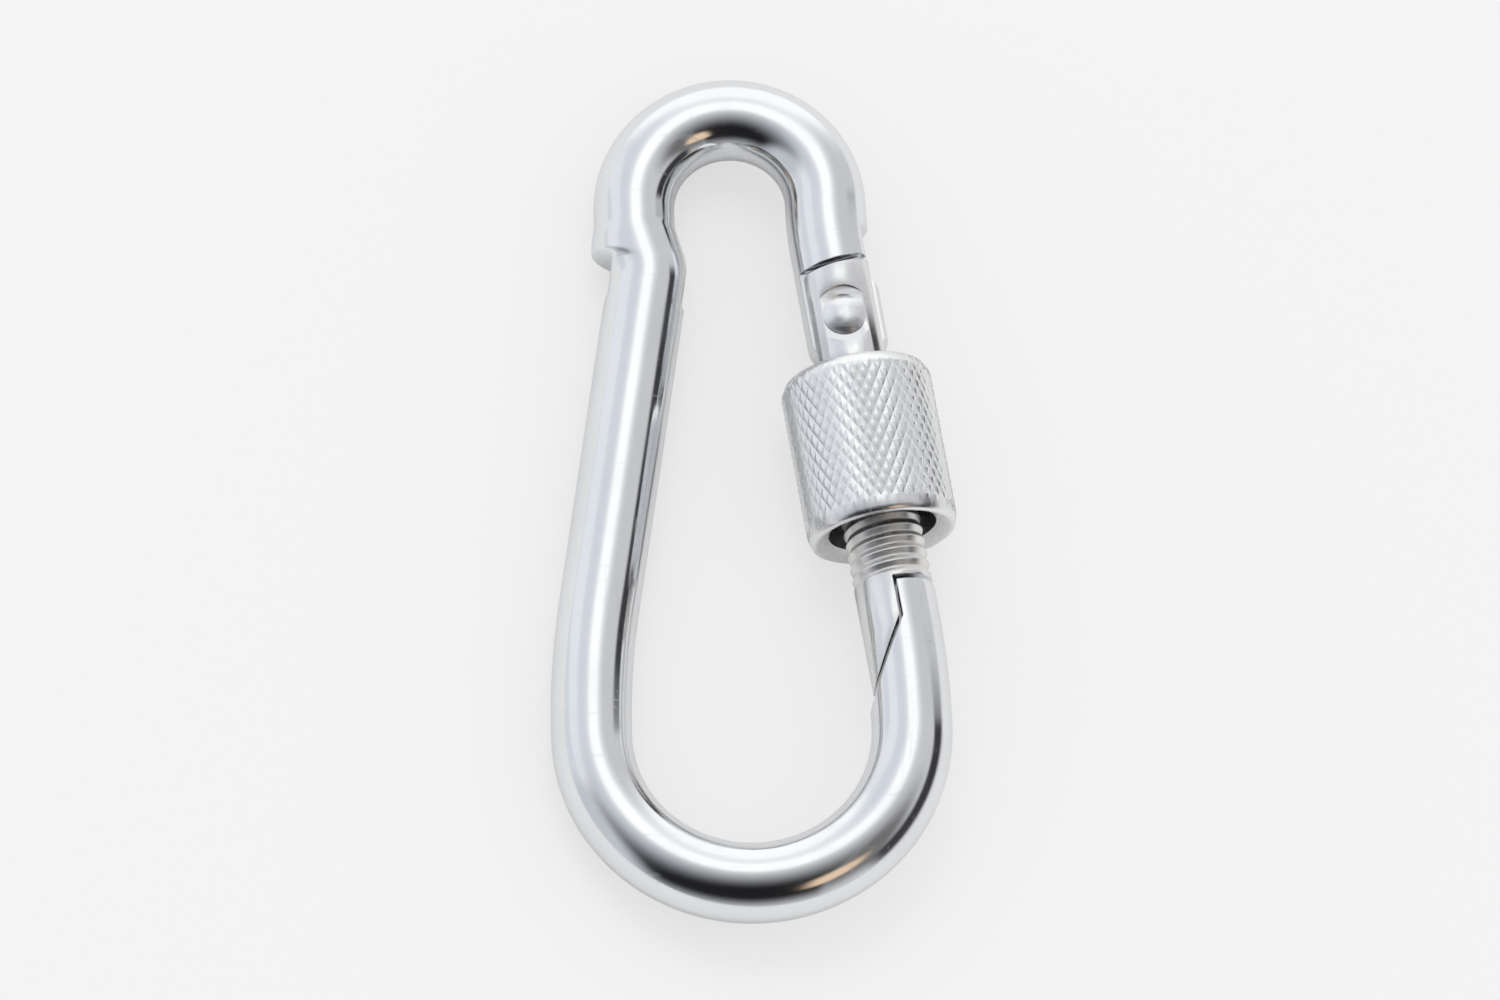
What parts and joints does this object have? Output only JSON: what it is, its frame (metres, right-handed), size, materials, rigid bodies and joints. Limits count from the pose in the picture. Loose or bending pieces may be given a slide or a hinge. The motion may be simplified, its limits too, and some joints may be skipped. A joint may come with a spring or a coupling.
{
  "type": "screw-lock snap hook",
  "caption": "Pear-shaped wire snap hook with a sprung gate on a rivet and a knurled sleeve nut that screws down over the nose to lock the gate.",
  "frame": {"origin": "middle of the part's box, in the hook's own plane", "axes": "+Y along the hook towards its narrow bow, +X towards the gate, +Z square to the hook's plane"},
  "size_m": [0.023, 0.05, 0.0086],
  "materials": {
    "bright_plate": "bright nickel plate, polished",
    "gate_plate": "nickel plate, duller in the thread",
    "rivet_steel": "peened steel",
    "spring_steel": "drawn spring steel",
    "plunger_steel": "turned steel",
    "nut_plate": "nickel plate over a diamond knurl"
  },
  "bodies": {
    "hook": {"hook_body": "bright_plate"},
    "gate": {"gate": "gate_plate", "hinge_rivet": "rivet_steel", "gate_spring": "spring_steel"},
    "plunger": {"spring_plunger": "plunger_steel"},
    "nut": {"locking_nut": "nut_plate"}
  },
  "joints": [
    {"name": "gate_hinge", "type": "hinge", "parent": "hook", "child": "gate", "pos_m": [0.00562, 0.0102, 0], "axis": [0, 0, -1], "range_deg": [0, 25], "stiffness_Nm_per_rad": 0.05, "springref_deg": -22.92},
    {"name": "nut_travel", "type": "slide", "parent": "gate", "child": "nut", "axis": [0.1369, -0.9906, 0], "range_m": [0, 0.00994]},
    {"name": "plunger_travel", "type": "slide", "parent": "gate", "child": "plunger", "axis": [0.1369, -0.9906, 0], "range_m": [0, 0.00047], "deforming": ["gate_spring"]}
  ],
  "couplings": [
    {"joint": "plunger_travel", "follows": "gate_hinge", "m_per_rad": 0.0010718}
  ]
}
